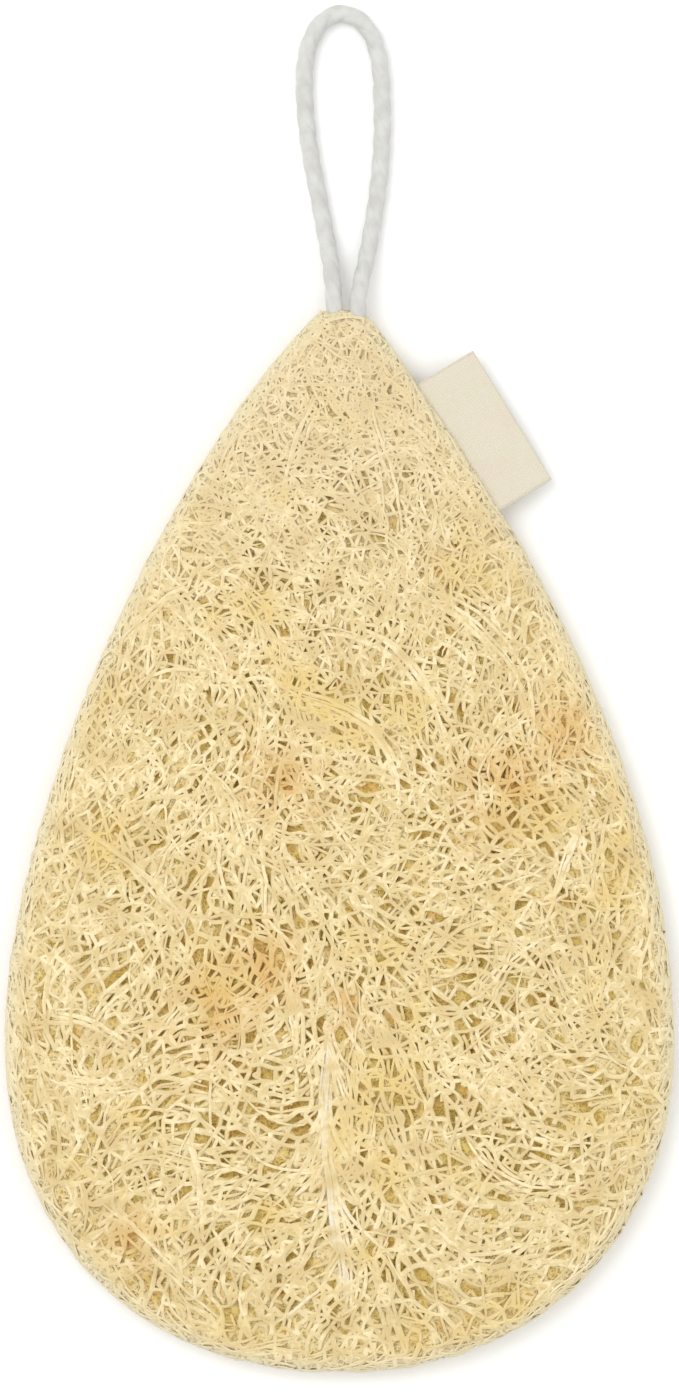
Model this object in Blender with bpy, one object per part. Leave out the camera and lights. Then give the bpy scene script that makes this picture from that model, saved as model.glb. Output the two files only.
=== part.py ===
"""Natural loofah sponge: a flat teardrop pad of loofah fibre, with a cotton hanging loop and a folded label.

Units are metres, +Z up. The pad lies flat with its tip towards +Y, and the origin is under its middle.
The raised net on the pad is the loofah's own fibre, larger than life.
"""

import math

import bmesh
import bpy
import numpy as np
from mathutils import Vector
from mathutils.geometry import delaunay_2d_cdt

MM = 0.001

# Pad outline
PAD_LENGTH = 0.160
BASE_Y = -PAD_LENGTH / 2
WIDEST_Y = -0.0299
HALF_WIDTH = 0.0505
BASE_POWER = 2.15
TIP_LEFT = (-0.0030, 0.07993)
TIP_RIGHT = (0.0047, 0.0790)
TIP_TOP = (0.0009, 0.0804)
LEFT_HANDLES = (0.0353, 0.0300)
LEFT_TIP_ANGLE = math.radians(46)
RIGHT_HANDLES = (0.0500, 0.0130)
RIGHT_TIP_ANGLE = math.radians(35)
SIDE_POINTS = 60
BASE_POINTS = 90

# Pad section
PAD_TOP_Z = 0.0115
RIM_Z = 0.0040
RIM_HALF = 0.0031
RIM_ROUND = 0.0034
CROWN_REACH = 0.030
BACK_REACH = 0.020
BACK_LIFT = RIM_Z - RIM_HALF
SWELL = 0.00035
# The slow swell of the front: waves per metre along X and Y, in radians, and where each starts
SWELL_WAVES = (95, 80)
SWELL_STARTS = (0.6, 1.1)

# Raised net
FRONT_SPACING = 0.0049
BACK_SPACING = 0.0060
TIP_SHRINK = 0.76
TIP_POWER = 1.5
LEAST_APART = 0.86
RIM_SPACING = 0.0053
RIM_ROWS = (0.0010, 0.0034)
RIM_ROW_FEWER = 4
RIM_ROW_JITTER = 0.15
RIM_ROW_CLEAR = 0.6
FINE_STEP = 0.001
FINE_REACH = 3
RIDGE_HALF = 0.00085
NET_DEPTH = 0.0011
RIM_NET_DEPTH = 0.0006
STRAND_RISE = 0.0006
STRAND_STEP = 0.0042
SPAN_POINTS = 16
LEAST_FLOOR = 0.34
STEEPEST_CELL = 0.75
LEAST_TURN = math.radians(20)
JOIN_DRAW = 0.7
RIM_SLOPE = 0.0006
KNOT_TRIES = 16000
NET_SEED = 7
REST_SPOT_Y = -0.0115
REST_SPOT_RADIUS = 0.007
REST_SPOT_SIDES = 12
REST_SPOT_INNER = 0.4

# Long fibres that stand out of the front, as (x, y) points in millimetres
MIDRIB = ((-1.0, -24.6), (-2.2, -40.9), (-1.3, -51.2), (1.0, -65.7), (0.6, -74.0))
STRANDS = (
    ((-8.1, -17.4), (-6.3, -29.1), (-8.8, -37.3)),
    ((-23.1, -42.8), (-21.1, -52.0), (-20.8, -61.5)),
    ((-37.5, -53.0), (-29.6, -60.4), (-23.1, -66.3), (-16.0, -71.8)),
    ((4.0, -26.0), (7.9, -29.1), (11.5, -36.3), (13.8, -43.5)),
    ((9.0, -52.5), (17.4, -60.4), (22.3, -67.7)),
    ((-44.0, -25.6), (-37.0, -27.0), (-29.6, -31.4)),
    ((-44.0, -34.5), (-36.8, -36.0), (-29.0, -35.8)),
    ((-9.2, 22.8), (-0.2, 19.6), (5.6, 15.9), (9.1, 10.2), (9.8, 2.3)),
    ((-2.2, 32.6), (6.7, 29.7), (12.0, 24.5), (14.6, 18.1), (14.8, 10.4)),
    ((8.2, 36.8), (17.1, 34.8), (23.0, 29.7), (26.9, 23.4), (28.3, 14.1)),
    ((-34.0, 29.0), (-27.8, 34.8), (-22.0, 39.3)),
    ((31.0, -24.0), (25.0, -31.5), (19.5, -38.5)),
    ((-1.5, 70.0), (-6.5, 58.0), (-9.0, 46.0)),
    ((4.0, 66.0), (8.0, 55.0), (9.0, 44.5)),
    ((-40.0, 2.0), (-31.0, -4.0), (-23.0, -12.0)),
    ((38.0, 6.0), (33.5, -5.0), (30.5, -14.5)),
    ((-21.0, 12.0), (-15.0, 5.0), (-12.5, -5.0)),
)

# Hanging loop
CORD_DIAMETER = 0.0027
CORD_STEP = 0.0029
CORD_BEVEL = 2
CORD_POCKET_DEPTH = 0.012
POCKET_SIDES = 6
FIT_GAP = 0.0003
# The loop's route as (x, y, z) in millimetres, from the left end in the tip round to the right one
CORD_ROUTE = (
    (-0.80, 76.6, 4.00),
    (-0.80, 80.6, 4.00),
    (-0.95, 83.2, 3.70),
    (-1.45, 87.8, 2.20),
    (-2.30, 92.6, 1.45),
    (-3.20, 97.5, 1.40),
    (-4.15, 102.3, 1.40),
    (-4.85, 107.1, 1.40),
    (-5.25, 111.9, 1.40),
    (-5.25, 116.5, 1.40),
    (-4.40, 120.6, 1.40),
    (-2.55, 123.6, 1.40),
    (0.25, 124.85, 1.40),
    (3.15, 123.7, 1.40),
    (5.15, 120.8, 1.40),
    (6.15, 116.6, 1.40),
    (6.40, 111.9, 1.40),
    (6.45, 107.1, 1.40),
    (6.20, 102.3, 1.40),
    (5.70, 97.5, 1.40),
    (4.95, 92.6, 1.45),
    (4.05, 87.8, 2.20),
    (3.05, 83.2, 3.70),
    (2.75, 80.6, 4.00),
    (2.75, 76.6, 4.00),
)

# Label
LABEL_WIDTH = 0.0228
LABEL_OUTER_TOP = (0.01994, 0.0738)
LABEL_OUTER_BOTTOM = (0.0318, 0.0544)
LABEL_SHOWN = 0.0096
LABEL_HELD = 0.0030
TAPE_THICKNESS = 0.00045
TAPE_GAP = 0.0003
LABEL_DROOP = 0.0012
DROOP_POWER = 1.6
LABEL_POCKET_OUTSIDE = 0.006
PLY_POINTS = 8
FOLD_POINTS = 6


def clear_scene():
    """Removes whatever the scene holds."""
    for thing in list(bpy.data.objects):
        bpy.data.objects.remove(thing)


def material(name, colour, roughness):
    """A plain matte material."""
    made = bpy.data.materials.new(name)
    made.use_nodes = True
    shader = made.node_tree.nodes["Principled BSDF"]
    shader.inputs["Base Color"].default_value = (*colour, 1.0)
    shader.inputs["Roughness"].default_value = roughness
    shader.inputs["Metallic"].default_value = 0.0
    return made


def add_object(name, data, finish=None):
    """An object in the scene, with its material."""
    thing = bpy.data.objects.new(name, data)
    bpy.context.scene.collection.objects.link(thing)
    if finish:
        data.materials.append(finish)
    return thing


def bezier(points):
    """Points along a cubic curve from its two ends and two handles."""
    a, b, c, d = (np.array(p) for p in points)
    t = np.linspace(0.0, 1.0, SIDE_POINTS)[:, None]
    return (1 - t) ** 3 * a + 3 * (1 - t) ** 2 * t * b + 3 * (1 - t) * t**2 * c + t**3 * d


def resample(points, step, closed=False):
    """Even points along a line, about step apart."""
    line = np.vstack([points, points[:1]]) if closed else np.asarray(points)
    along = np.concatenate([[0.0], np.cumsum(np.linalg.norm(np.diff(line, axis=0), axis=1))])
    count = max(2, round(along[-1] / step))
    at = np.linspace(0.0, along[-1], count + 1)
    even = np.stack([np.interp(at, along, line[:, k]) for k in range(line.shape[1])], axis=1)
    return even[:-1] if closed else even


def smooth_line(points, step):
    """A Catmull-Rom curve through the points, read at even steps."""
    p = np.asarray(points, float)
    p = np.vstack([2 * p[0] - p[1], p, 2 * p[-1] - p[-2]])
    t = np.linspace(0.0, 1.0, SPAN_POINTS, endpoint=False)[:, None]
    spans = []
    for a, b, c, d in zip(p[:-3], p[1:-2], p[2:-1], p[3:]):
        bend, twist = 2 * a - 5 * b + 4 * c - d, 3 * b - a - 3 * c + d
        spans.append(0.5 * (2 * b + (c - a) * t + bend * t**2 + twist * t**3))
    return resample(np.vstack([*spans, p[-2:-1]]), step)


def outline():
    """The teardrop seen from above, anticlockwise from the left of its blunt tip round to the right."""
    left_tip, right_tip = np.array(TIP_LEFT), np.array(TIP_RIGHT)
    left_pull = LEFT_HANDLES[1] * np.array([-math.sin(LEFT_TIP_ANGLE), -math.cos(LEFT_TIP_ANGLE)])
    right_pull = RIGHT_HANDLES[1] * np.array([math.sin(RIGHT_TIP_ANGLE), -math.cos(RIGHT_TIP_ANGLE)])
    left_widest, right_widest = np.array([[-HALF_WIDTH, WIDEST_Y], [HALF_WIDTH, WIDEST_Y]])
    left = bezier((left_tip, left_tip + left_pull, left_widest + [0, LEFT_HANDLES[0]], left_widest))
    right = bezier((right_widest, right_widest + [0, RIGHT_HANDLES[0]], right_tip + right_pull, right_tip))
    turn = np.linspace(math.pi, 2 * math.pi, BASE_POINTS)
    across, down = np.cos(turn), np.abs(np.sin(turn))
    base_x = HALF_WIDTH * np.sign(across) * np.abs(across) ** (2 / BASE_POWER)
    base_y = WIDEST_Y + (BASE_Y - WIDEST_Y) * down ** (2 / BASE_POWER)
    return np.vstack([left[:-1], np.column_stack([base_x, base_y])[:-1], right])


def edge_distance(points, loop):
    """How far each point is from the outline, and below zero outside it."""
    start, end = loop, np.roll(loop, -1, axis=0)
    along = end - start
    to = points[:, None] - start[None]
    share = np.clip((to * along).sum(2) / (along**2).sum(1), 0.0, 1.0)
    away = np.linalg.norm(to - share[..., None] * along, axis=2)
    side = along[:, 0] * to[..., 1] - along[:, 1] * to[..., 0]
    return away.min(axis=1) * np.where((side > 0).all(axis=1), 1.0, -1.0)


def ease(share):
    """From 0 to 1, fast at first and level at the end."""
    return np.sin(np.clip(share, 0.0, 1.0) * math.pi / 2)


def rim_height(depth_in):
    """The rounded edge: half the rim's thickness, from nothing at the outline."""
    share = np.clip(depth_in / RIM_ROUND, 0.0, 1.0)
    return RIM_HALF * np.sqrt(1 - (1 - share) ** 2)


def face_z(points, depth_in, front):
    """The height of the crowned front, or of the flatter back."""
    reach = CROWN_REACH if front else BACK_REACH
    inner = np.clip((depth_in - RIM_ROUND) / (reach - RIM_ROUND), 0.0, 1.0)
    if not front:
        return RIM_Z - rim_height(depth_in) - BACK_LIFT * ease(inner)
    crown = PAD_TOP_Z - SWELL - RIM_Z - RIM_HALF
    waves = np.sin(points * SWELL_WAVES + SWELL_STARTS).prod(axis=1)
    return RIM_Z + rim_height(depth_in) + crown * ease(inner) + SWELL * waves * inner


def spacing_at(points, spacing):
    """The net is finer towards the tip."""
    share = np.clip((points[..., 1] - BASE_Y) / PAD_LENGTH, 0.0, 1.0)
    return spacing * (1 - (1 - TIP_SHRINK) * share**TIP_POWER)


def scatter(loop, taken, spacing, rng):
    """Random knots of the net, none nearer to another or to the taken points than the net's spacing."""
    low, high = loop.min(axis=0), loop.max(axis=0)
    tries = rng.random((KNOT_TRIES, 2)) * (high - low) + low
    tries = tries[edge_distance(tries, loop) > RIM_ROWS[-1] + RIM_ROW_CLEAR * spacing]
    kept = list(taken)
    for point, own in zip(tries, spacing_at(tries, spacing)):
        if np.linalg.norm(np.array(kept) - point, axis=1).min() > LEAST_APART * own:
            kept.append(point)
    return np.array(kept[len(taken) :])


def rim_rows(loop, rng):
    """Rows of knots just inside the outline, staggered from row to row."""
    even = resample(loop, FINE_STEP, closed=True)
    along = np.roll(even, -FINE_REACH, axis=0) - np.roll(even, FINE_REACH, axis=0)
    inward = np.stack([-along[:, 1], along[:, 0]], axis=1)
    inward /= np.linalg.norm(inward, axis=1)[:, None]
    rows = []
    for number, inset in enumerate(RIM_ROWS):
        count = round(len(even) * FINE_STEP / RIM_SPACING) - RIM_ROW_FEWER * number
        shift = 0.5 * (1 - number) + rng.uniform(-RIM_ROW_JITTER, RIM_ROW_JITTER, count)
        index = ((np.arange(count) + shift) / count * len(even)).astype(int) % len(even)
        rows.append(even[index] + inset * inward[index])
    return np.vstack(rows)


def rest_spot():
    """The corners of the small flat place under the pad."""
    turn = np.arange(REST_SPOT_SIDES) * 2 * math.pi / REST_SPOT_SIDES
    return REST_SPOT_RADIUS * np.stack([np.cos(turn), np.sin(turn)], axis=1) + [0.0, REST_SPOT_Y]


def strand_lines():
    """The long fibres as lines of knots."""
    return [smooth_line(np.array(points) * MM, STRAND_STEP) for points in (MIDRIB, *STRANDS)]


def joined_cells(triangles, corners, bound, rng):
    """Pairs of triangles joined into four-sided cells across the edges that nothing binds."""
    owners = {}
    for number, triangle in enumerate(triangles):
        for a, b in zip(triangle, triangle[1:] + triangle[:1]):
            owners.setdefault(frozenset((a, b)), []).append(number)
    shared = sorted((e for e, two in owners.items() if len(two) == 2 and e not in bound), key=sorted)
    length = [np.linalg.norm(np.subtract(*(corners[k] for k in edge))) for edge in shared]
    cells = dict(enumerate(triangles))
    free = set(cells)
    for number in np.argsort(-np.array(length) * rng.uniform(JOIN_DRAW, 1.0, len(length))):
        first, second = owners[shared[number]]
        if first in free and second in free:
            joined = four_sided(cells[first], cells[second], shared[number])
            if is_convex(corners[joined]):
                cells[first] = joined
                del cells[second]
                free -= {first, second}
    return list(cells.values())


def four_sided(first, second, edge):
    """The corners of two triangles that share an edge, in order round them both."""
    start = next(i for i in range(3) if first[i] not in edge)
    apex = next(k for k in second if k not in edge)
    return [first[start], first[(start + 1) % 3], apex, first[(start + 2) % 3]]


def is_convex(points):
    """Whether every corner turns the same way by enough."""
    before = points - np.roll(points, 1, axis=0)
    after = np.roll(points, -1, axis=0) - points
    size = np.linalg.norm(before, axis=1) * np.linalg.norm(after, axis=1)
    turns = (before[:, 0] * after[:, 1] - before[:, 1] * after[:, 0]) / size
    return turns.min() > math.sin(LEAST_TURN)


def sunk_cell(mesh, corners, depth):
    """A cell whose floor lies below its edges, so that its edges stand up as ridges."""
    place = np.array([v.co[:] for v in corners])
    following = np.roll(place, -1, axis=0)
    middle = place.mean(axis=0)
    normal = np.cross(place - middle, following - middle).sum(axis=0)
    twice_area = np.linalg.norm(normal)
    inner_radius = twice_area / np.linalg.norm(following - place, axis=1).sum()
    keep = max(LEAST_FLOOR, 1 - RIDGE_HALF / inner_radius)
    down = normal / twice_area * min(depth, STEEPEST_CELL * inner_radius)
    floor = [mesh.verts.new(p) for p in middle + (place - middle) * keep - down]
    for i, corner in enumerate(corners):
        j = (i + 1) % len(corners)
        mesh.faces.new((corner, corners[j], floor[j], floor[i]))
    mesh.faces.new(floor)


def knots(ring, loop, lines, closed_line, spacing, rng):
    """The net's knots, the edges that have to stay, and the knots that lie on the lines."""
    groups = [ring, rim_rows(loop, rng)]
    bound = chain(0, len(ring), closed=True)
    on_lines = []
    for line in lines:
        first = sum(map(len, groups))
        bound += chain(first, len(line), closed=closed_line)
        on_lines += range(first, first + len(line))
        groups.append(line)
    fixed = np.vstack(groups)
    taken = fixed
    if closed_line:
        inner = [line.mean(axis=0) + (line - line.mean(axis=0)) * REST_SPOT_INNER for line in lines]
        taken = np.vstack([fixed, *inner])
    return np.vstack([fixed, scatter(loop, taken, spacing, rng)]), bound, on_lines


def chain(first, count, closed=False):
    """The edges of a line of knots, as pairs of their numbers."""
    return [(first + i, first + (i + 1) % count) for i in range(count if closed else count - 1)]


def net_face(mesh, ring, found, places, upward, rng):
    """The cells of one side of the pad. On the back, the closed line of knots bounds a flat spot."""
    points, bound, on_lines = found
    verts = ring + [mesh.verts.new(place) for place in places[len(ring) :]]
    _, _, triangles, _, _, _ = delaunay_2d_cdt([Vector(p) for p in points], bound, [], 0, 1e-7)
    spot = set() if upward else set(on_lines)
    open_cells = [list(t) for t in triangles if not set(t) <= spot]
    kept = {frozenset(edge) for edge in bound}
    for cell in joined_cells(open_cells, points, kept, rng):
        corners = [verts[k] for k in (cell if upward else cell[::-1])]
        in_rim = min(cell) < len(ring) or places[cell, 2].std() > RIM_SLOPE
        sunk_cell(mesh, corners, RIM_NET_DEPTH if in_rim else NET_DEPTH)
    if spot:
        mesh.faces.new([verts[k] for k in sorted(spot, reverse=True)])


def build_pad(finish):
    """The loofah: a rounded teardrop pad whose whole surface is a raised net of fibres."""
    rng = np.random.default_rng(NET_SEED)
    sides = outline()
    loop = np.vstack([sides, TIP_TOP])
    even = np.vstack([resample(sides, RIM_SPACING), TIP_TOP])
    mesh = bmesh.new()
    ring = [mesh.verts.new((x, y, RIM_Z)) for x, y in even]
    front = knots(even, loop, strand_lines(), False, FRONT_SPACING, rng)
    back = knots(even, loop, [rest_spot()], True, BACK_SPACING, rng)
    net_face(mesh, ring, front, placed(front, loop, True), True, rng)
    net_face(mesh, ring, back, placed(back, loop, False), False, rng)
    data = bpy.data.meshes.new("loofah_pad")
    mesh.to_mesh(data)
    mesh.free()
    pad = add_object("loofah_pad", data, finish)
    cut(pad, cord_pocket())
    cut(pad, label_pocket())


def placed(found, loop, front):
    """The knots in space: each at its face's height, and the front's long fibres above that."""
    points, _, on_lines = found
    z = face_z(points, np.maximum(edge_distance(points, loop), 0.0), front)
    if front:
        z[on_lines] += STRAND_RISE
    return np.column_stack([points, z])


def cut(solid, cutter):
    """Takes the cutter's shape out of the solid."""
    cutter.hide_render = True
    cutter.display_type = "WIRE"
    boolean = solid.modifiers.new(cutter.name, "BOOLEAN")
    boolean.operation = "DIFFERENCE"
    boolean.solver = "EXACT"
    boolean.object = cutter


def prism(name, profile, start, run):
    """A closed solid: the profile's points, carried along the run."""
    mesh = bmesh.new()
    near = [mesh.verts.new(Vector(start) + Vector(p)) for p in profile]
    far = [mesh.verts.new(v.co + Vector(run)) for v in near]
    mesh.faces.new(near)
    mesh.faces.new(far[::-1])
    for i in range(len(near)):
        j = (i + 1) % len(near)
        mesh.faces.new((near[j], near[i], far[i], far[j]))
    bmesh.ops.recalc_face_normals(mesh, faces=mesh.faces)
    data = bpy.data.meshes.new(name)
    mesh.to_mesh(data)
    mesh.free()
    return add_object(name, data)


def cord_pocket():
    """The slot in the tip that both ends of the cord go into."""
    left, right = CORD_ROUTE[0][0] * MM, CORD_ROUTE[-1][0] * MM
    radius = CORD_DIAMETER / 2 + FIT_GAP
    turns = np.linspace(0.0, math.pi, POCKET_SIDES + 1)
    profile = [(right + radius * math.sin(t), 0, radius * math.cos(t)) for t in turns]
    profile += [(left - radius * math.sin(t), 0, -radius * math.cos(t)) for t in turns]
    floor_y = CORD_ROUTE[0][1] * MM - FIT_GAP
    return prism("cord_pocket", profile, (0, floor_y, RIM_Z), (0, CORD_POCKET_DEPTH, 0))


def label_axes():
    """The middle of the label's outer end, its direction along the pad's edge, and its way into the pad."""
    top, bottom = Vector((*LABEL_OUTER_TOP, RIM_Z)), Vector((*LABEL_OUTER_BOTTOM, RIM_Z))
    along = (bottom - top).normalized()
    inward = Vector((along.y, -along.x, 0))
    return (top + bottom) / 2, along, inward


def label_pocket():
    """The slit in the pad's edge that holds the label's two ends."""
    middle, along, inward = label_axes()
    half = TAPE_THICKNESS + TAPE_GAP / 2 + FIT_GAP
    reach = LABEL_SHOWN + LABEL_HELD + FIT_GAP
    side = along * (LABEL_WIDTH / 2 + FIT_GAP)
    profile = (side + Vector((0, 0, half)), side - Vector((0, 0, half)))
    profile += (-side - Vector((0, 0, half)), -side + Vector((0, 0, half)))
    start = middle + inward * (LABEL_SHOWN - LABEL_POCKET_OUTSIDE)
    return prism("label_pocket", profile, start, inward * (reach - LABEL_SHOWN + LABEL_POCKET_OUTSIDE))


def build_label(finish):
    """A woven tape folded in two; its ends are in the pad's edge and its fold hangs a little."""
    middle, along, inward = label_axes()
    bend = (TAPE_GAP + TAPE_THICKNESS) / 2
    plies = np.linspace(LABEL_SHOWN + LABEL_HELD, bend, PLY_POINTS)
    turn = np.linspace(0.0, math.pi, FOLD_POINTS + 2)[1:-1]
    upper = [(x, bend) for x in plies]
    fold = [(bend - bend * math.sin(t), bend * math.cos(t)) for t in turn]
    lower = [(x, -bend) for x in plies[::-1]]
    mesh = bmesh.new()
    rows = []
    for inset, lift in upper + fold + lower:
        sag = LABEL_DROOP * max(0.0, 1 - inset / LABEL_SHOWN) ** DROOP_POWER
        place = middle + inward * inset + Vector((0, 0, lift - sag))
        rows.append([mesh.verts.new(place + along * (side * LABEL_WIDTH / 2)) for side in (-1, 1)])
    for (a, b), (c, d) in zip(rows, rows[1:]):
        mesh.faces.new((a, b, d, c))
    data = bpy.data.meshes.new("cotton_label")
    mesh.to_mesh(data)
    mesh.free()
    label = add_object("cotton_label", data, finish)
    cloth = label.modifiers.new("tape thickness", "SOLIDIFY")
    cloth.thickness = TAPE_THICKNESS
    cloth.offset = 0.0


def build_cord(finish):
    """The loop of cord, whose two ends lie side by side in the pad's tip."""
    data = bpy.data.curves.new("hanging_cord", "CURVE")
    data.dimensions = "3D"
    data.bevel_depth = CORD_DIAMETER / 2
    data.bevel_resolution = CORD_BEVEL
    data.use_fill_caps = True
    line = smooth_line(np.array(CORD_ROUTE) * MM, CORD_STEP)
    spline = data.splines.new("POLY")
    spline.points.add(len(line) - 1)
    for point, place in zip(spline.points, line):
        point.co = (*place, 1.0)
    spline.use_smooth = True
    add_object("hanging_cord", data, finish)


clear_scene()
build_pad(material("loofah_fibre", (0.83, 0.68, 0.36), 0.75))
build_cord(material("cord_cotton", (0.78, 0.78, 0.74), 0.85))
build_label(material("label_cotton", (0.82, 0.76, 0.62), 0.85))
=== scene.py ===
"""Natural loofah sponge, as it looks: a pad of plant fibre, a cotton hanging loop and a blank label.

The sponge lies on a pale floor and the camera looks straight down on it. Units are metres.
"""

import math
from collections import namedtuple

import bpy
import numpy as np
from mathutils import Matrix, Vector
from mathutils.geometry import delaunay_2d_cdt
from mathutils.kdtree import KDTree


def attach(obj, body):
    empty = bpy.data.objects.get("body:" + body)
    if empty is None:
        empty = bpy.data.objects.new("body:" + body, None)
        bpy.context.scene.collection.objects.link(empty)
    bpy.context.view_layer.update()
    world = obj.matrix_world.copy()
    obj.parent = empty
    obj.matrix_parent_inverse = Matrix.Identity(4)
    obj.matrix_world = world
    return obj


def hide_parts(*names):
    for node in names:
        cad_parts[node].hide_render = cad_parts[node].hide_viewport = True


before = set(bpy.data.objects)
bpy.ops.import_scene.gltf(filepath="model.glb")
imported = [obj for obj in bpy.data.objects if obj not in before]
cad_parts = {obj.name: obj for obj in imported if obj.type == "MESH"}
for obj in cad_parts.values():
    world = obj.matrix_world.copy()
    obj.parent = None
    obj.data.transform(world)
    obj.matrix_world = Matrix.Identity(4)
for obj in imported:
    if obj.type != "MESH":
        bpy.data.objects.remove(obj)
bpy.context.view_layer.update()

MM = 0.001
SEED = 11
# The least length that a direction is worked out with, and the distance below which corners count as one
TINY = 1e-12
CLOSEST = 1e-9
# Random waves start anywhere within this range of angles
PHASES = (0, 6.3)
FRONT, BACK = True, False

# View
FRAME_HEIGHT = 0.2107
VIEW_MIDDLE_Y = 0.0213
VIEW_REACH = 20.0
LENS = 200.0
SENSOR = 36.0
FLOOR_SIZE = 4.0
SKY_STRENGTH = 0.86
# Each lamp's name, place, size and power
LAMPS = (
    ("key", (-0.55, 0.35, 1.1), 0.9, 6.6),
    ("fill", (0.7, -0.2, 1.0), 1.2, 3.0),
)

# Colours, as red, green and blue from 0 to 255
FIBRE_TAN = (216, 195, 140)
FIBRE_CREAM = (242, 226, 183)
FIBRE_GREY = (231, 223, 204)
FIBRE_YELLOW = (223, 197, 128)
FIBRE_DULL = (213, 190, 137)
FIBRE_MOTTLE = (216, 191, 137)
# Painted shade deep in the pad's hollows, gold to brown
DEEP_SHADE_GOLD = (219, 192, 112)
DEEP_SHADE_BROWN = (214, 174, 90)
DEEPEST_SHADE_BROWN = (206, 173, 88)
RUST_BROWN = (212, 170, 98)
TIP_PALE = (218, 200, 166)
RIM_PALE = (228, 215, 178)
MAT_TAN = (214, 190, 133)
# Painted shade in the mat's pits: brown in patches, and darker in every pit
MAT_SHADE_BROWN = (182, 151, 84)
MAT_PIT_SHADE = (180, 137, 56)
CORD_WHITE = (204, 204, 200)
CORD_SHADE = (190, 189, 184)
LABEL_CREAM = (226, 220, 207)
LABEL_PINK = (226, 211, 204)
LABEL_GREEN = (220, 221, 201)
# Painted shade in the grooves between the label's threads
LABEL_GROOVE_SHADE = (213, 203, 179)
FLOOR_WHITE = (250, 250, 249)
FLOOR_SHADE = (248, 248, 247)

# Clouds of noise: their scale and detail, and the two values between which a share goes from 0 to 1
YELLOW_CLOUDS = (75.0, 3.0, 0.50, 0.74)
DULL_CLOUDS = (190.0, 2.0, 0.48, 0.72)
MOTTLE_CLOUDS = (900.0, 2.0, 0.40, 0.80)
# Where the painted deep shade is gold and where it is brown
DEEP_SHADE_CLOUDS = (260.0, 2.0, 0.50, 0.70)
RUST_CLOUDS = (210.0, 3.0, 0.30, 0.58)
# Where the mat's pits get painted brown shade
MAT_SHADE_CLOUDS = (330.0, 2.0, 0.38, 0.62)
CORD_CLOUDS = (420.0, 3.0, 0.30, 0.75)
PINK_CLOUDS = (170.0, 3.0, 0.50, 0.70)
GREEN_CLOUDS = (230.0, 3.0, 0.55, 0.75)
FLOOR_CLOUDS = (3.0, 3.0, 0.30, 0.70)
# Grain: scale and detail
FIBRE_GRAIN = (5200.0, 2.0)
CORD_GRAIN = (3600.0, 3.0)
NOISE_ROUGHNESS = 0.55

# A fibre with a tint of 0 is tan and one with 1 is cream, and above 1 it turns grey
GREY_TINTS = (1.0, 1.6)
# Depths under the skin between which the painted deep shade and the rust come in
DEEP_SHADE_SINKS = (0.00055, 0.00110)
DEEPEST_SHADE_SINKS = (0.00100, 0.00165)
RUST_SINKS = (-0.0006, 0.0009)
# The tip gets paler between these heights in the plan, by this share
TIP_HEIGHTS = (0.020, 0.075)
TIP_SHARE = 0.45
# The rim gets paler between these arcs from its middle
RIM_ARCS = (0.0050, 0.0010)

# The mat's two painted nets: the scales of their cells, their ridges, how the cells are bent, and the
# values between which painted shade darkens the pits
MAT_NETS = (820.0, 1300.0)
MAT_RIDGE = (0.26, 0.03)
MAT_BEND_SCALE = 700.0
MAT_BEND = 0.0009
MAT_PIT_SHADE_VALUES = (1.0, -1.4)

# The label's threads, and the weave values over which painted shade comes into the grooves between them
THREAD_UNIT = 0.01
THREAD_SCALE = 9.0
THREAD_WOBBLE = 0.6
THREAD_GROOVE_SHADE_VALUES = (0.5, 0.0)

# Pad outline and section
BASE_Y = -0.080
PAD_LENGTH = 0.16
WIDEST_Y = -0.0299
HALF_WIDTH = 0.0505
BASE_POWER = 2.15
TIP_LEFT = (-0.0030, 0.07993)
TIP_RIGHT = (0.0047, 0.0790)
TIP_TOP = (0.0009, 0.0804)
LEFT_HANDLES = (0.0353, 0.0300)
LEFT_TIP_ANGLE = math.radians(46)
RIGHT_HANDLES = (0.0500, 0.0130)
RIGHT_TIP_ANGLE = math.radians(35)
PAD_TOP_Z = 0.0115
RIM_Z = 0.0040
RIM_HALF = 0.0031
RIM_ROUND = 0.0034
CROWN_REACH = 0.030
BACK_REACH = 0.020
BACK_LIFT = RIM_Z - RIM_HALF
SWELL = 0.00035
# The swell's waves across and along the pad: rate and shift
SWELL_WAVES = ((95, 0.6), (80, 1.1))
OUTLINE_STEP = 0.0015
SIDE_POINTS = 60
BASE_POINTS = 90
SPAN_POINTS = 16
# How many points are measured against the outline at a time
BATCH = 3000

# The skin is wrapped round the edge: along the skin, the edge's middle lies this far outside the outline
RIM_ARC = 0.5 * (RIM_HALF + RIM_ROUND)
UNROLLED = RIM_ARC * math.pi / 2 - RIM_ROUND
OVERLAP = 0.0006

# Knots of the net: how they close up towards the tip, and how uneven they are
TIP_SHRINK = 0.66
SHRINK_LIMIT = 1.2
SHRINK_POWER = 1.5
KNOT_JITTER = 0.40
ROW_SHARE = 0.866
PLAN_X = (-0.085, 0.085)
PLAN_Y = (-0.090, 0.140)
PLAN_STEPS = 400
# Slow waves that shift the knots: how many, how long and how steep
DRIFT_WAVES = 9
DRIFT_LENGTHS = (0.007, 0.034)
DRIFT_SHARE = 0.30

# How deep the gaps are, as a share, near the edge and in the middle, where that starts and how far it takes
OPEN_SHARE = (0.02, 0.40)
OPEN_START = 0.003
OPEN_REACH = 0.024
# How much that varies from place to place, in waves of these lengths, and where the waves start
OPEN_SPREAD = 0.38
OPEN_WAVES = 14
OPEN_LENGTHS = (0.0035, 0.0120)
WAVES_START = 0.001
WAVES_REACH = 0.010
# The net is closer towards the tip: by this share, from one height in the plan to another
TIP_CLOSED = (0.25, 0.020, 0.065)
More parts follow.
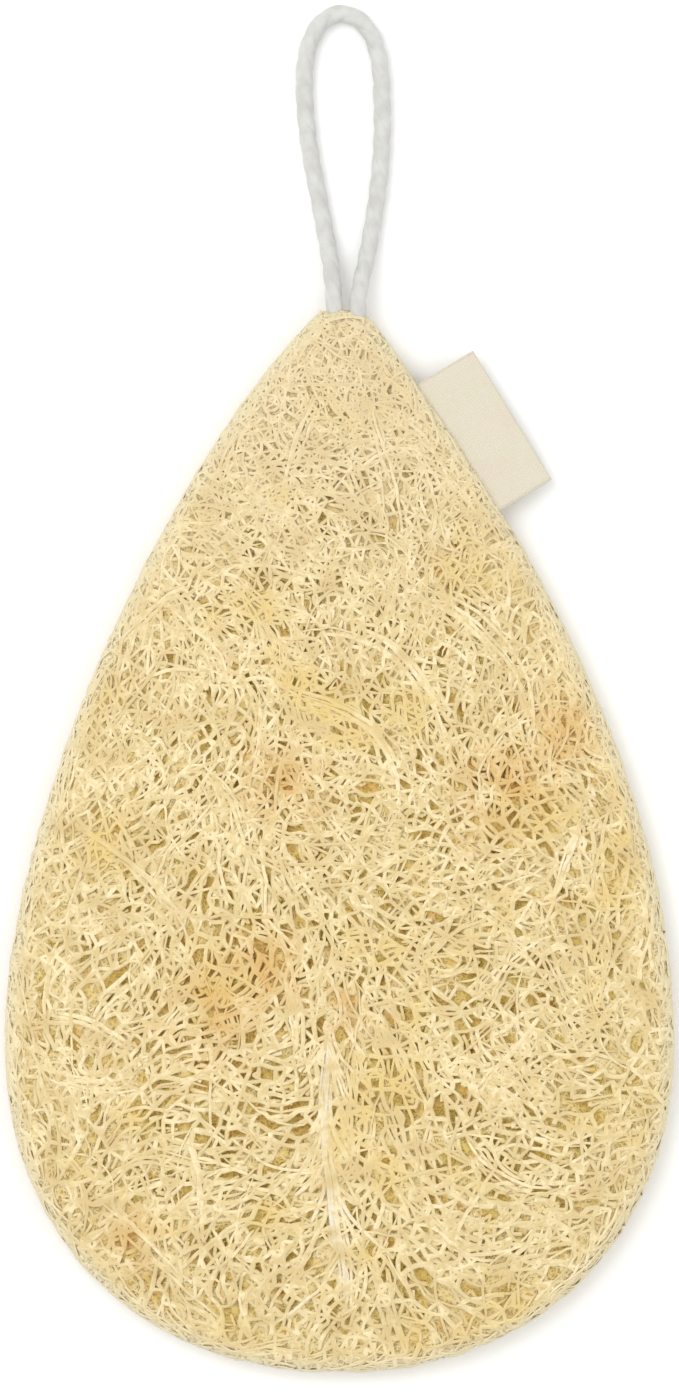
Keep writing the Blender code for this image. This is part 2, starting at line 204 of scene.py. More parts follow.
# Where the front is most open, and where it is rusty, as (x, y, reach) in millimetres
PLACE_SHARE = 0.50
OPEN_PLACES = (
    (-10.5, -14.0, 11.0),
    (-11.0, -38.0, 12.0),
    (-19.5, -27.0, 9.0),
    (-11.0, -64.0, 8.0),
    (8.0, -63.0, 9.0),
    (25.5, 8.0, 8.0),
    (17.0, -33.0, 9.0),
    (27.0, -45.0, 8.0),
    (-11.0, 34.0, 7.0),
)
RUST_PLACES = (
    (33.0, 16.0, 6.0),
    (24.5, 9.0, 6.5),
    (-11.0, -19.0, 6.0),
    (-20.0, -26.0, 6.0),
    (0.5, -25.5, 3.5),
    (-31.0, -60.0, 4.0),
    (-9.0, 8.0, 5.0),
)

# Streams: how far the fibres lean away from the midrib low down, in radians, and the height from which,
# the height over which and the distance from the midrib over which they come to do so
STREAM_FAN = 0.65
FAN_TOP_Y = 0.010
FAN_HEIGHT = 0.030
FAN_WIDTH = 0.010
# The streams' swirls: size, rates across and along the pad, and shift
SWIRLS = ((0.65, 70, 38, 0.8), (0.50, -41, 96, 2.2))
EDDY_SIZE = 0.45
EDDY_WAVES = ((160, 1.3), (130, 0.4))
# Some fibres cross the streams at this angle
CROSSING = 1.25

# The net's two layers of strands, on the front and on the back
Layer = namedtuple("Layer", "spacing depth radius kept points")
UPPER_NET = {
    FRONT: Layer(spacing=0.00176, depth=0.00033, radius=0.00036, kept=0.72, points=4),
    BACK: Layer(spacing=0.00225, depth=0.00035, radius=0.00042, kept=0.60, points=4),
}
LOWER_NET = {
    FRONT: Layer(spacing=0.00185, depth=0.00064, radius=0.00034, kept=0.42, points=4),
    BACK: Layer(spacing=0.00240, depth=0.00062, radius=0.00036, kept=0.42, points=3),
}
DEPTH_SPREAD = 0.00014
STRAND_RISE = 0.62
STRAND_DROP = 0.30
STRAND_WIDTHS = (0.55, 1.15)
KNOT_SWELL = 0.05
# Which links between knots stay: what lying along or across the streams, chance and length count for
LIKE_ALONG = 0.6
LIKE_ACROSS = 0.3
LIKE_CHANCE = 0.7
DISLIKE_LENGTH = 0.4
LONGEST_LINK = 3.0
# How much a strand bends at its knots, how far it runs past them, and how nearly opposite the next must be
BEND = 0.85
OVERRUN = 0.04
OPPOSITE = -0.3

# The mat of fine fibre between the strands: corner spacing, and depth beside a strand and along the rim
MAT_SPACING = {FRONT: 0.00046, BACK: 0.00080}
MAT_DEPTH = 0.00046
MAT_RIM_DEPTH = 0.00022
MAT_RIM_REACH = 0.005
MAT_ROUGHNESS = 0.00005
# Gaps: where the mat starts to sink beside a strand, how far from there it is deepest, how deep closed and
# open gaps are, and how many points of each span of a strand this is measured from
GAP_START = 0.00020
GAP_SLOPE = 0.00030
GAP_DEPTHS = (0.00028, 0.00100)
SAMPLES = 7

# Any fibre that isn't part of the net: its dips, its ends and how far its size varies
FIBRE_DIPS = (4, 14)
DIP_SHARE = 0.5
FIBRE_DEPTHS = 0.25
HIGHEST_SINK = -0.0003
END_SINK = 0.0006
END_TAPER = 0.45
FIBRE_WIDTHS = (0.55, 1.25)
FIBRE_TINTS = (0.0, 1.0)

# Loose fibres
LOOSE_POINTS = 12
LOOSE_FRONT = 520
LOOSE_BACK = 300
LOOSE_LENGTH = (0.006, 0.018)
LOOSE_RADIUS = 0.00024
LOOSE_DEPTH = 0.00026
LOOSE_CROSSING = 0.35
LOOSE_LEAN = 0.35
LOOSE_BEND = 0.07
LOOSE_WANDER = 0.12

# Fibres pressed along the rim
RIM_POINTS = 8
RIM_FIBRES = 520
RIM_LENGTH = (0.003, 0.010)
RIM_RADIUS = 0.85 * LOOSE_RADIUS
RIM_DEPTH = 0.00028
RIM_LEAN = 0.35
RIM_WANDER = 0.00015
RIM_PLACES = (-0.0008, 0.0050)
RIM_TOP = 0.007

# The midrib, its branches and the bundles that the other long strands are made of
LONG_STEP = 0.0005
LONG_DEPTH = 0.00024
LONG_WANDER = 0.3
BUNDLE_FIBRES = 4
BUNDLE_SPREAD = 0.00050
BUNDLE_RADIUS = 0.00031
BUNDLE_TINTS = (0.4, 1.25)
RIB_FIBRES = 14
RIB_SPREAD = 0.00060
RIB_RADIUS = 0.00026
RIB_TINTS = (0.95, 1.60)
RIB_BRANCHES = 26
BRANCHED_SHARE = 0.75
BRANCH_LENGTH = (0.006, 0.018)
BRANCH_ANGLES = (0.15, 0.45)
BRANCH_BENDS = (0.01, 0.07)
BRANCH_SCATTER = 0.0005
BRANCH_WANDER = 0.08

# Long strands of the front as (x, y) points in millimetres, the midrib first
STRANDS = (
    ((-1.0, -24.6), (-2.2, -40.9), (-1.3, -51.2), (1.0, -65.7), (0.6, -74.0)),
    ((-8.1, -17.4), (-6.3, -29.1), (-8.8, -37.3)),
    ((-23.1, -42.8), (-21.1, -52.0), (-20.8, -61.5)),
    ((-37.5, -53.0), (-29.6, -60.4), (-23.1, -66.3), (-16.0, -71.8)),
    ((4.0, -26.0), (7.9, -29.1), (11.5, -36.3), (13.8, -43.5)),
    ((9.0, -52.5), (17.4, -60.4), (22.3, -67.7)),
    ((-44.0, -25.6), (-37.0, -27.0), (-29.6, -31.4)),
    ((-44.0, -34.5), (-36.8, -36.0), (-29.0, -35.8)),
    ((-9.2, 22.8), (-0.2, 19.6), (5.6, 15.9), (9.1, 10.2), (9.8, 2.3)),
    ((-2.2, 32.6), (6.7, 29.7), (12.0, 24.5), (14.6, 18.1), (14.8, 10.4)),
    ((8.2, 36.8), (17.1, 34.8), (23.0, 29.7), (26.9, 23.4), (28.3, 14.1)),
    ((-34.0, 29.0), (-27.8, 34.8), (-22.0, 39.3)),
    ((31.0, -24.0), (25.0, -31.5), (19.5, -38.5)),
    ((-1.5, 70.0), (-6.5, 58.0), (-9.0, 46.0)),
    ((4.0, 66.0), (8.0, 55.0), (9.0, 44.5)),
    ((-40.0, 2.0), (-31.0, -4.0), (-23.0, -12.0)),
    ((38.0, 6.0), (33.5, -5.0), (30.5, -14.5)),
    ((-21.0, 12.0), (-15.0, 5.0), (-12.5, -5.0)),
)

# Hanging loop
CORD_DIAMETER = 0.0027
CORD_STEP = 0.00045
CORD_PLIES = 3
CORD_PITCH = 0.0105
PLY_SHARE = 0.76
PLY_SIDES = 14
# The loop's route as (x, y, z) in millimetres, from the left end in the tip round to the right one
CORD_ROUTE = (
    (-0.80, 76.6, 4.00),
    (-0.80, 80.6, 4.00),
    (-0.95, 83.2, 3.70),
    (-1.45, 87.8, 2.20),
    (-2.30, 92.6, 1.45),
    (-3.20, 97.5, 1.40),
    (-4.15, 102.3, 1.40),
    (-4.85, 107.1, 1.40),
    (-5.25, 111.9, 1.40),
    (-5.25, 116.5, 1.40),
    (-4.40, 120.6, 1.40),
    (-2.55, 123.6, 1.40),
    (0.25, 124.85, 1.40),
    (3.15, 123.7, 1.40),
    (5.15, 120.8, 1.40),
    (6.15, 116.6, 1.40),
    (6.40, 111.9, 1.40),
    (6.45, 107.1, 1.40),
    (6.20, 102.3, 1.40),
    (5.70, 97.5, 1.40),
    (4.95, 92.6, 1.45),
    (4.05, 87.8, 2.20),
    (3.05, 83.2, 3.70),
    (2.75, 80.6, 4.00),
    (2.75, 76.6, 4.00),
)

# Label
LABEL_WIDTH = 0.0228
LABEL_OUTER_TOP = (0.01994, 0.0738)
LABEL_OUTER_BOTTOM = (0.0318, 0.0544)
LABEL_SHOWN = 0.0096
LABEL_HELD = 0.0030
LABEL_DROOP = 0.0012
DROOP_POWER = 1.6
RIPPLE = 0.00018
# The ripple's rate along the pad's edge, and its shift
RIPPLE_WAVE = (420, 0.7)
TAPE_THICKNESS = 0.00045
TAPE_GAP = 0.0003
LAYER_ROWS = 26
FOLD_ROWS = 10
LABEL_COLUMNS = 31

# How far fibres stay away from the label's sides, its faces and the cord, which is met from this height on
LABEL_CLEAR = 0.0004
FACE_CLEAR = 0.0003
CORD_CLEAR = 0.0003
CORD_LOW_Y = 0.070


# Materials


def linear(rgb):
    """A colour from 0 to 255, as a shader takes it."""
    share = np.array(rgb) / 255
    return (*np.where(share <= 0.04045, share / 12.92, ((share + 0.055) / 1.055) ** 2.4), 1.0)


def node(tree, kind, inputs=None, **settings):
    """Adds a shader node. Each input is a value or another node's socket."""
    made = tree.nodes.new("ShaderNode" + kind)
    for name, value in settings.items():
        setattr(made, name, value)
    for name, value in (inputs or {}).items():
        if isinstance(value, bpy.types.NodeSocket):
            tree.links.new(value, made.inputs[name])
        else:
            made.inputs[name].default_value = value
    return made


def mix(tree, share, first, second):
    """The first colour, or the second where the share is 1. Each is a socket or a colour from 0 to 255."""
    ends = [end if isinstance(end, bpy.types.NodeSocket) else linear(end) for end in (first, second)]
    return node(tree, "Mix", {"Factor": share, 6: ends[0], 7: ends[1]}, data_type="RGBA").outputs[2]


def product(tree, first, second):
    """Two numbers multiplied."""
    return node(tree, "Math", {0: first, 1: second}, operation="MULTIPLY").outputs[0]


def spread(tree, value, low, high):
    """The value's range from low to high, as 0 to 1."""
    inputs = {"Value": value, "From Min": low, "From Max": high}
    return node(tree, "MapRange", inputs, interpolation_type="SMOOTHSTEP").outputs[0]


def noise(tree, place, scale, detail):
    """Soft noise around a half."""
    inputs = {"Vector": place, "Scale": scale, "Detail": detail, "Roughness": NOISE_ROUGHNESS}
    return node(tree, "TexNoise", inputs).outputs["Fac"]


def clouds(tree, place, kind):
    """A share from 0 to 1 that changes from place to place."""
    scale, detail, low, high = kind
    return spread(tree, noise(tree, place, scale, detail), low, high)


def corner_value(tree, name):
    """A number that the mesh holds at its corners."""
    return node(tree, "Attribute", attribute_name=name).outputs["Fac"]


def new_material(name, roughness):
    """A new material, its node tree, its shader and the place on the object."""
    made = bpy.data.materials.new(name)
    made.use_nodes = True
    tree = made.node_tree
    shader = tree.nodes["Principled BSDF"]
    shader.inputs["Roughness"].default_value = roughness
    return made, tree, shader, node(tree, "TexCoord").outputs["Object"]


def bump(tree, shader, height, distance, strength):
    """Raises the shader's surface by a height from 0 to 1."""
    inputs = {"Height": height, "Distance": distance, "Strength": strength}
    tree.links.new(node(tree, "Bump", inputs).outputs["Normal"], shader.inputs["Normal"])


def strand_colour(tree, place):
    """Fibres from tan through cream to grey, with yellow patches, dull spots and fine mottling."""
    tint = corner_value(tree, "tint")
    colour = mix(tree, tint, FIBRE_TAN, FIBRE_CREAM)
    colour = mix(tree, spread(tree, tint, *GREY_TINTS), colour, FIBRE_GREY)
    colour = mix(tree, clouds(tree, place, YELLOW_CLOUDS), colour, FIBRE_YELLOW)
    colour = mix(tree, clouds(tree, place, DULL_CLOUDS), colour, FIBRE_DULL)
    return mix(tree, clouds(tree, place, MOTTLE_CLOUDS), colour, FIBRE_MOTTLE)


def aged_and_shaded(tree, place, colour):
    """The colour, browned by painted shade deep in the pad, rusty in places, and paler at the tip and along
    the edge.
    """
    sink = corner_value(tree, "sink")
    # Painted shade: the colour turns gold, then brown, as the skin sinks deeper into the pad
    deep = mix(tree, clouds(tree, place, DEEP_SHADE_CLOUDS), DEEP_SHADE_GOLD, DEEP_SHADE_BROWN)
    colour = mix(tree, spread(tree, sink, *DEEP_SHADE_SINKS), colour, deep)
    colour = mix(tree, spread(tree, sink, *DEEPEST_SHADE_SINKS), colour, DEEPEST_SHADE_BROWN)
    rust = product(tree, corner_value(tree, "rust"), spread(tree, sink, *RUST_SINKS))
    rust = product(tree, rust, clouds(tree, place, RUST_CLOUDS))
    colour = mix(tree, rust, colour, RUST_BROWN)
    height = node(tree, "SeparateXYZ", {"Vector": place}).outputs["Y"]
    paler = product(tree, spread(tree, height, *TIP_HEIGHTS), TIP_SHARE)
    colour = mix(tree, paler, colour, TIP_PALE)
    return mix(tree, spread(tree, corner_value(tree, "edge"), *RIM_ARCS), colour, RIM_PALE)


def fibre_material():
    """Dry loofah strands."""
    made, tree, shader, place = new_material("loofah_fibre_finish", roughness=0.72)
    tree.links.new(aged_and_shaded(tree, place, strand_colour(tree, place)), shader.inputs["Base Color"])
    bump(tree, shader, noise(tree, place, *FIBRE_GRAIN), distance=0.00006, strength=0.6)
    return made


def painted_net(tree, place):
    """Two nets of fine ridges, one over the other: 1 on a ridge and 0 in a pit."""
    wander = node(tree, "TexNoise", {"Vector": place, "Scale": MAT_BEND_SCALE, "Detail": 1.0})
    bend = {0: wander.outputs["Color"], 1: (MAT_BEND, MAT_BEND, MAT_BEND)}
    shift = node(tree, "VectorMath", bend, operation="MULTIPLY").outputs[0]
    bent = node(tree, "VectorMath", {0: place, 1: shift}, operation="ADD").outputs[0]
    ridges = []
    for scale in MAT_NETS:
        cell = {"Vector": bent, "Scale": scale, "Randomness": 1.0}
        gap = node(tree, "TexVoronoi", cell, feature="DISTANCE_TO_EDGE").outputs["Distance"]
        ridges.append(spread(tree, gap, *MAT_RIDGE))
    return node(tree, "Math", {0: ridges[0], 1: ridges[1]}, operation="MAXIMUM").outputs[0]


def mat_material():
    """The mat of fine fibre between the strands, with painted brown shade in its pits."""
    made, tree, shader, place = new_material("loofah_mat_finish", roughness=0.80)
    net = painted_net(tree, place)
    # Between the fine ridges the mat is tan with painted brown shade in patches, and painted shade darkens
    # every pit
    between = mix(tree, clouds(tree, place, MAT_SHADE_CLOUDS), MAT_TAN, MAT_SHADE_BROWN)
    colour = aged_and_shaded(tree, place, mix(tree, net, between, strand_colour(tree, place)))
    colour = mix(tree, spread(tree, net, *MAT_PIT_SHADE_VALUES), colour, MAT_PIT_SHADE)
    tree.links.new(colour, shader.inputs["Base Color"])
    bump(tree, shader, net, distance=0.00020, strength=1.0)
    return made


def cord_material():
    """Undyed cotton: almost white, with fine grain and a faint sheen."""
    made, tree, shader, place = new_material("cord_cotton_finish", roughness=0.88)
    colour = mix(tree, clouds(tree, place, CORD_CLOUDS), CORD_WHITE, CORD_SHADE)
    tree.links.new(colour, shader.inputs["Base Color"])
    shader.inputs["Sheen Weight"].default_value = 0.25
    shader.inputs["Sheen Roughness"].default_value = 0.6
    bump(tree, shader, noise(tree, place, *CORD_GRAIN), distance=0.00008, strength=0.7)
    return made


def label_material():
    """Woven cotton tape: fine threads both ways, cream with faint pink and green clouds and painted shade
    in the grooves.
    """
    made, tree, shader, place = new_material("label_cotton_finish", roughness=0.86)
    threads = node(tree, "UVMap", uv_map="threads").outputs["UV"]
    waves = {"Vector": threads, "Scale": THREAD_SCALE, "Distortion": THREAD_WOBBLE}
    across = node(tree, "TexWave", waves, bands_direction="X").outputs["Fac"]
    along = node(tree, "TexWave", waves, bands_direction="Y").outputs["Fac"]
    weave = product(tree, across, along)
    colour = mix(tree, clouds(tree, place, PINK_CLOUDS), LABEL_CREAM, LABEL_PINK)
    colour = mix(tree, clouds(tree, place, GREEN_CLOUDS), colour, LABEL_GREEN)
    # Painted shade darkens the grooves between the threads
    colour = mix(tree, spread(tree, weave, *THREAD_GROOVE_SHADE_VALUES), colour, LABEL_GROOVE_SHADE)
    tree.links.new(colour, shader.inputs["Base Color"])
    bump(tree, shader, weave, distance=0.00012, strength=0.8)
    return made


def floor_material():
    """A plain white floor, faintly clouded."""
    made, tree, shader, place = new_material("floor_finish", roughness=0.9)
    colour = mix(tree, clouds(tree, place, FLOOR_CLOUDS), FLOOR_WHITE, FLOOR_SHADE)
    tree.links.new(colour, shader.inputs["Base Color"])
    return made


# Making meshes


def add_mesh(name, places, faces, finish, values=None):
    """A smooth mesh from arrays of corners and of faces, which have three or four sides each.

    The values are a number per corner under each name that the finish reads.
    """
    sides = faces.shape[1]
    data = bpy.data.meshes.new(name)
    data.vertices.add(len(places))
    data.vertices.foreach_set("co", places.astype(np.float32).ravel())
    data.loops.add(faces.size)
    data.loops.foreach_set("vertex_index", faces.astype(np.int32).ravel())
    data.polygons.add(len(faces))
    data.polygons.foreach_set("loop_start", np.arange(0, faces.size, sides, dtype=np.int32))
    data.polygons.foreach_set("use_smooth", np.ones(len(faces), bool))
    data.update(calc_edges=True)
    for key, numbers in (values or {}).items():
        held = data.attributes.new(key, "FLOAT", "POINT")
        held.data.foreach_set("value", numbers.astype(np.float32).ravel())
    data.materials.append(finish)
    thing = bpy.data.objects.new(name, data)
    bpy.context.scene.collection.objects.link(thing)
    return thing


def as_piece(thing, replaced):
    """The thing hangs from the root body and takes the place of a CAD node, which is hidden."""
    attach(thing, "root")
    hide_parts(replaced)


def unit(vectors):
    """The vectors' directions."""
    return vectors / np.maximum(np.linalg.norm(vectors, axis=-1, keepdims=True), TINY)


def roofs(lines, radii, up):
    """Strands along lines of equal point counts: a ridge with an edge on each side of it, open below."""
    across = radii[..., None] * unit(np.cross(unit(np.gradient(lines, axis=1)), up))
    rise, drop = (share * radii[..., None] * up for share in (STRAND_RISE, STRAND_DROP))
    places = np.stack([lines - across - drop, lines + rise, lines + across - drop], axis=2)
    index = np.arange(places[..., 0].size).reshape(places.shape[:3])
    a, b = index[:, :-1], index[:, 1:]
    faces = []
    for k in range(2):
        faces.append(np.stack([a[..., k], a[..., k + 1], b[..., k + 1]], axis=-1).reshape(-1, 3))
        faces.append(np.stack([a[..., k], b[..., k + 1], b[..., k]], axis=-1).reshape(-1, 3))
    return places.reshape(-1, 3), np.vstack(faces)


def tubes(lines, radii, up, sides):
    """Closed tubes along lines of equal point counts."""
    along = unit(np.gradient(lines, axis=1))
    across = unit(np.cross(along, up))
    over = np.cross(across, along)
    turn = math.pi / 2 + np.arange(sides) * 2 * math.pi / sides
    ring = np.cos(turn)[:, None] * across[:, :, None] + np.sin(turn)[:, None] * over[:, :, None]
    places = lines[:, :, None] + radii[..., None, None] * ring
    index = np.arange(places[..., 0].size).reshape(places.shape[:3])
    a, b = index[:, :-1], index[:, 1:]
    c, d = np.roll(b, -1, axis=2), np.roll(a, -1, axis=2)
    walls = [np.stack([a, b, c], axis=-1).reshape(-1, 3), np.stack([a, c, d], axis=-1).reshape(-1, 3)]
    ends = []
    for k in range(1, sides - 1):
        ends.append(index[:, 0][:, [0, k, k + 1]])
        ends.append(index[:, -1][:, [0, k + 1, k]])
    return places.reshape(-1, 3), np.vstack(walls + ends)


# The pad's skin


def bezier(points):
    """A curve from the first of four points to the last, which the two others pull at."""
    a, b, c, d = (np.array(p) for p in points)
    t = np.linspace(0.0, 1.0, SIDE_POINTS)[:, None]
    return (1 - t) ** 3 * a + 3 * (1 - t) ** 2 * t * b + 3 * (1 - t) * t**2 * c + t**3 * d


def resample(points, step):
    """Even points along a line, about step apart."""
    line = np.asarray(points, float)
    along = np.concatenate([[0.0], np.cumsum(np.linalg.norm(np.diff(line, axis=0), axis=1))])
    at = np.linspace(0.0, along[-1], max(2, round(along[-1] / step)) + 1)
    return np.stack([np.interp(at, along, line[:, k]) for k in range(line.shape[1])], axis=1)


def smooth_line(points, step):
    """A smooth curve through points in millimetres, read at even steps."""
    p = np.array(points) * MM
    p = np.vstack([2 * p[0] - p[1], p, 2 * p[-1] - p[-2]])
    t = np.linspace(0.0, 1.0, SPAN_POINTS, endpoint=False)[:, None]
    spans = []
    for a, b, c, d in zip(p[:-3], p[1:-2], p[2:-1], p[3:]):
        bend, twist = 2 * a - 5 * b + 4 * c - d, 3 * b - a - 3 * c + d
        spans.append(0.5 * (2 * b + (c - a) * t + bend * t**2 + twist * t**3))
    return resample(np.vstack([*spans, p[-2:-1]]), step)


def outline():
    """The teardrop seen from above, anticlockwise from the left of its blunt tip round to the right."""
    left_tip, right_tip = np.array(TIP_LEFT), np.array(TIP_RIGHT)
    left_pull = LEFT_HANDLES[1] * np.array([-math.sin(LEFT_TIP_ANGLE), -math.cos(LEFT_TIP_ANGLE)])
    right_pull = RIGHT_HANDLES[1] * np.array([math.sin(RIGHT_TIP_ANGLE), -math.cos(RIGHT_TIP_ANGLE)])
    left_widest, right_widest = np.array([[-HALF_WIDTH, WIDEST_Y], [HALF_WIDTH, WIDEST_Y]])
    left = bezier((left_tip, left_tip + left_pull, left_widest + [0, LEFT_HANDLES[0]], left_widest))
    right = bezier((right_widest, right_widest + [0, RIGHT_HANDLES[0]], right_tip + right_pull, right_tip))
    turn = np.linspace(math.pi, 2 * math.pi, BASE_POINTS)
    across, down = np.cos(turn), np.abs(np.sin(turn))
    base_x = HALF_WIDTH * np.sign(across) * np.abs(across) ** (2 / BASE_POWER)
    base_y = WIDEST_Y + (BASE_Y - WIDEST_Y) * down ** (2 / BASE_POWER)
    sides = np.vstack([left[:-1], np.column_stack([base_x, base_y])[:-1], right])
    return resample(np.vstack([sides, TIP_TOP, sides[:1]]), OUTLINE_STEP)[:-1]


OUTLINE = outline()


def edge_frame(points):
    """How far inside the outline each point is, the nearest point on it, and the way in from there."""
    along = np.roll(OUTLINE, -1, axis=0) - OUTLINE
    inward = unit(np.stack([-along[:, 1], along[:, 0]], axis=1))
    found = []
    for some in np.array_split(points, max(1, len(points) // BATCH)):
        to = some[:, None] - OUTLINE[None]
        share = np.clip((to * along).sum(2) / (along**2).sum(1), 0.0, 1.0)
        foot = OUTLINE + share[..., None] * along
        near = np.linalg.norm(some[:, None] - foot, axis=2).argmin(axis=1)
        foot = foot[np.arange(len(some)), near]
        inside = ((some - foot) * inward[near]).sum(axis=1)
        away = np.linalg.norm(some - foot, axis=1) * np.sign(inside)
        found.append(np.column_stack([away, foot, inward[near]]))
    found = np.vstack(found)
    return found[:, 0], found[:, 1:3], found[:, 3:5]


def ease(share):
    """The share from 0 to 1, steep at first and level at its end."""
    return np.sin(np.clip(share, 0.0, 1.0) * math.pi / 2)


def face_rise(points, inside, front):
    """How far the skin stands above or below the middle of the pad's edge, inside the rounded rim."""
    if not front:
        return RIM_HALF + BACK_LIFT * ease((inside - RIM_ROUND) / (BACK_REACH - RIM_ROUND))
    crown = PAD_TOP_Z - SWELL - RIM_Z - RIM_HALF
    inner = np.clip((inside - RIM_ROUND) / (CROWN_REACH - RIM_ROUND), 0.0, 1.0)
    across, along = (np.sin(points[:, k] * rate + shift) for k, (rate, shift) in enumerate(SWELL_WAVES))
    return RIM_HALF + crown * ease(inner) + SWELL * across * along * inner


def on_skin(points, sink, front):
    """Flat points placed under the pad's skin, the way out of it, and their arc from the rim's middle."""
    inside, foot, inward = edge_frame(points)
    arc = inside + UNROLLED
    turn = np.minimum(arc / RIM_ARC, math.pi / 2)
    on_rim = (turn < math.pi / 2)[:, None]
    flat = np.where(on_rim, foot + inward * (RIM_ROUND * (1 - np.cos(turn)))[:, None], points)
    rise = np.where(on_rim[:, 0], RIM_HALF * np.sin(turn), face_rise(points, inside, front))
    out = np.column_stack([-inward * np.cos(turn)[:, None], np.sin(turn)])
    side = 1.0 if front else -1.0
    out[:, 2] *= side
    place = np.column_stack([flat, RIM_Z + side * rise])
    return place - out * sink[:, None], out, arc


def label_axes():
    """The middle of the label's outer end, and the directions along the pad's edge and into the pad."""
    top, bottom = np.array(LABEL_OUTER_TOP), np.array(LABEL_OUTER_BOTTOM)
    along = unit(bottom - top)
    return (top + bottom) / 2, along, np.array([along[1], -along[0]])


def clear_of_others(places):
    """Whether each point keeps clear of the label and of the cord."""
    middle, along, inward = label_axes()
    to = places[:, :2] - middle
    in_label = np.abs(to @ along) < LABEL_WIDTH / 2 + LABEL_CLEAR
    in_label &= (to @ inward) < LABEL_SHOWN + LABEL_HELD + LABEL_CLEAR
    in_label &= np.abs(places[:, 2] - RIM_Z) < TAPE_THICKNESS + TAPE_GAP / 2 + FACE_CLEAR
    route = smooth_line(CORD_ROUTE, MM)
    apart = np.full(len(places), 1.0)
    near = places[:, 1] > CORD_LOW_Y
    apart[near] = np.linalg.norm(places[near][:, None] - route[None], axis=2).min(axis=1)
    return ~in_label & (apart > CORD_DIAMETER / 2 + CORD_CLEAR)


# Fibres


def drift(points, rng):
    """Shifts points by slow waves, so that the net is tight in some places and drawn out in others."""
    moved = points.copy()
    for _ in range(DRIFT_WAVES):
        length = rng.uniform(*DRIFT_LENGTHS)
        heading, lean = rng.uniform(0, 2 * math.pi), rng.uniform(0, 2 * math.pi)
        size = DRIFT_SHARE / math.sqrt(DRIFT_WAVES / 2) * length / (2 * math.pi)
        run = points @ [math.cos(heading), math.sin(heading)]
        wave = np.sin(run * 2 * math.pi / length + rng.uniform(*PHASES))
        moved += size * wave[:, None] * [math.cos(lean), math.sin(lean)]
    return moved


def tightness(heights):
    """How close the net is at each height in the plan, as a share of its spacing at the pad's base."""
    up = np.clip((heights - BASE_Y) / PAD_LENGTH, 0.0, SHRINK_LIMIT)
    return 1 - (1 - TIP_SHRINK) * up**SHRINK_POWER


def scattered(spacing, rng):
    """Uneven knots over the pad's unrolled plan, closer together towards the tip."""
    rows, columns = np.arange(*PLAN_Y, spacing * ROW_SHARE), np.arange(*PLAN_X, spacing)
    y, x = np.meshgrid(rows, columns, indexing="ij")
    x = x + (np.arange(len(rows)) % 2)[:, None] * spacing / 2
    knots = np.stack([x.ravel(), y.ravel()], axis=1)
    knots += rng.uniform(-KNOT_JITTER, KNOT_JITTER, knots.shape) * spacing
    steps = np.linspace(*PLAN_Y, PLAN_STEPS)
    tight = tightness(steps)
    real_y = steps[0] + np.concatenate([[0.0], np.cumsum((tight[:-1] + tight[1:]) / 2 * np.diff(steps))])
    knots[:, 0] *= np.interp(knots[:, 1], steps, tight)
    knots[:, 1] = np.interp(knots[:, 1], steps, real_y)
    knots = drift(knots, rng)
    inside, _, _ = edge_frame(knots)
    return knots[inside > -UNROLLED - OVERLAP]


def triangulated(knots):
    """Triangles between the knots."""
    _, _, triangles, _, _, _ = delaunay_2d_cdt([Vector(k) for k in knots], [], [], 0, CLOSEST)
    return np.array(triangles)


def streams(points):
    """The angle at which the fibres run at each point: along the pad with swirls, fanning out low down."""
    x, y = points[..., 0], points[..., 1]
    low_down = np.clip((FAN_TOP_Y - y) / FAN_HEIGHT, 0.0, 1.0)
    angle = math.pi / 2 + STREAM_FAN * low_down * np.tanh(x / FAN_WIDTH)
    angle += sum(size * np.sin(x * rate_x + y * rate_y + shift) for size, rate_x, rate_y, shift in SWIRLS)
    (rate_x, shift_x), (rate_y, shift_y) = EDDY_WAVES
    return angle + EDDY_SIZE * np.sin(x * rate_x + shift_x) * np.sin(y * rate_y + shift_y)


def nearness(points, places):
    """How near each point is to some places, from 0 far from all of them to 1 in the middle of one."""
    near = np.zeros(len(points))
    for x, y, reach in places:
        away = np.linalg.norm(points - np.array([x, y]) * MM, axis=1) / (reach * MM)
        near = np.maximum(near, np.exp(-(away**2)))
    return near


def openness(points, front, rng):
    """How open the net is at each point, from 0 to 1: closed along the edge and uneven inside."""
    inside, _, _ = edge_frame(points)
    low, high = OPEN_SHARE
    level = low + (high - low) * ease((inside - OPEN_START) / OPEN_REACH)
    if front:
        level += PLACE_SHARE * nearness(points, OPEN_PLACES)
    closed, start, end = TIP_CLOSED
    calm = 1 - closed * np.clip((points[:, 1] - start) / (end - start), 0.0, 1.0)
    level *= calm
    waves = np.zeros(len(points))
    for _ in range(OPEN_WAVES):
        length, heading = rng.uniform(*OPEN_LENGTHS), rng.uniform(0, 2 * math.pi)
        way = np.array([math.cos(heading), math.sin(heading)]) * 2 * math.pi / length
        waves += np.sin(points @ way + rng.uniform(*PHASES)) / math.sqrt(OPEN_WAVES / 2)
    level += OPEN_SPREAD * waves * calm * ease((inside - WAVES_START) / WAVES_REACH)
    return np.clip(level, 0.0, 1.0)


def search_tree(points):
    """A tree to find the nearest of some flat points with."""
    tree = KDTree(len(points))
    for number, (x, y) in enumerate(points):
        tree.insert((x, y, 0.0), number)
    tree.balance()
    return tree


def gap_share(points, tree):
    """How far out into a gap each point is: 0 beside a strand, 1 well away from all of them."""
    away = np.array([tree.find((x, y, 0.0))[2] for x, y in points])
    share = np.clip((away / tightness(points[:, 1]) - GAP_START) / GAP_SLOPE, 0.0, 1.0)
    return share**2 * (3 - 2 * share)


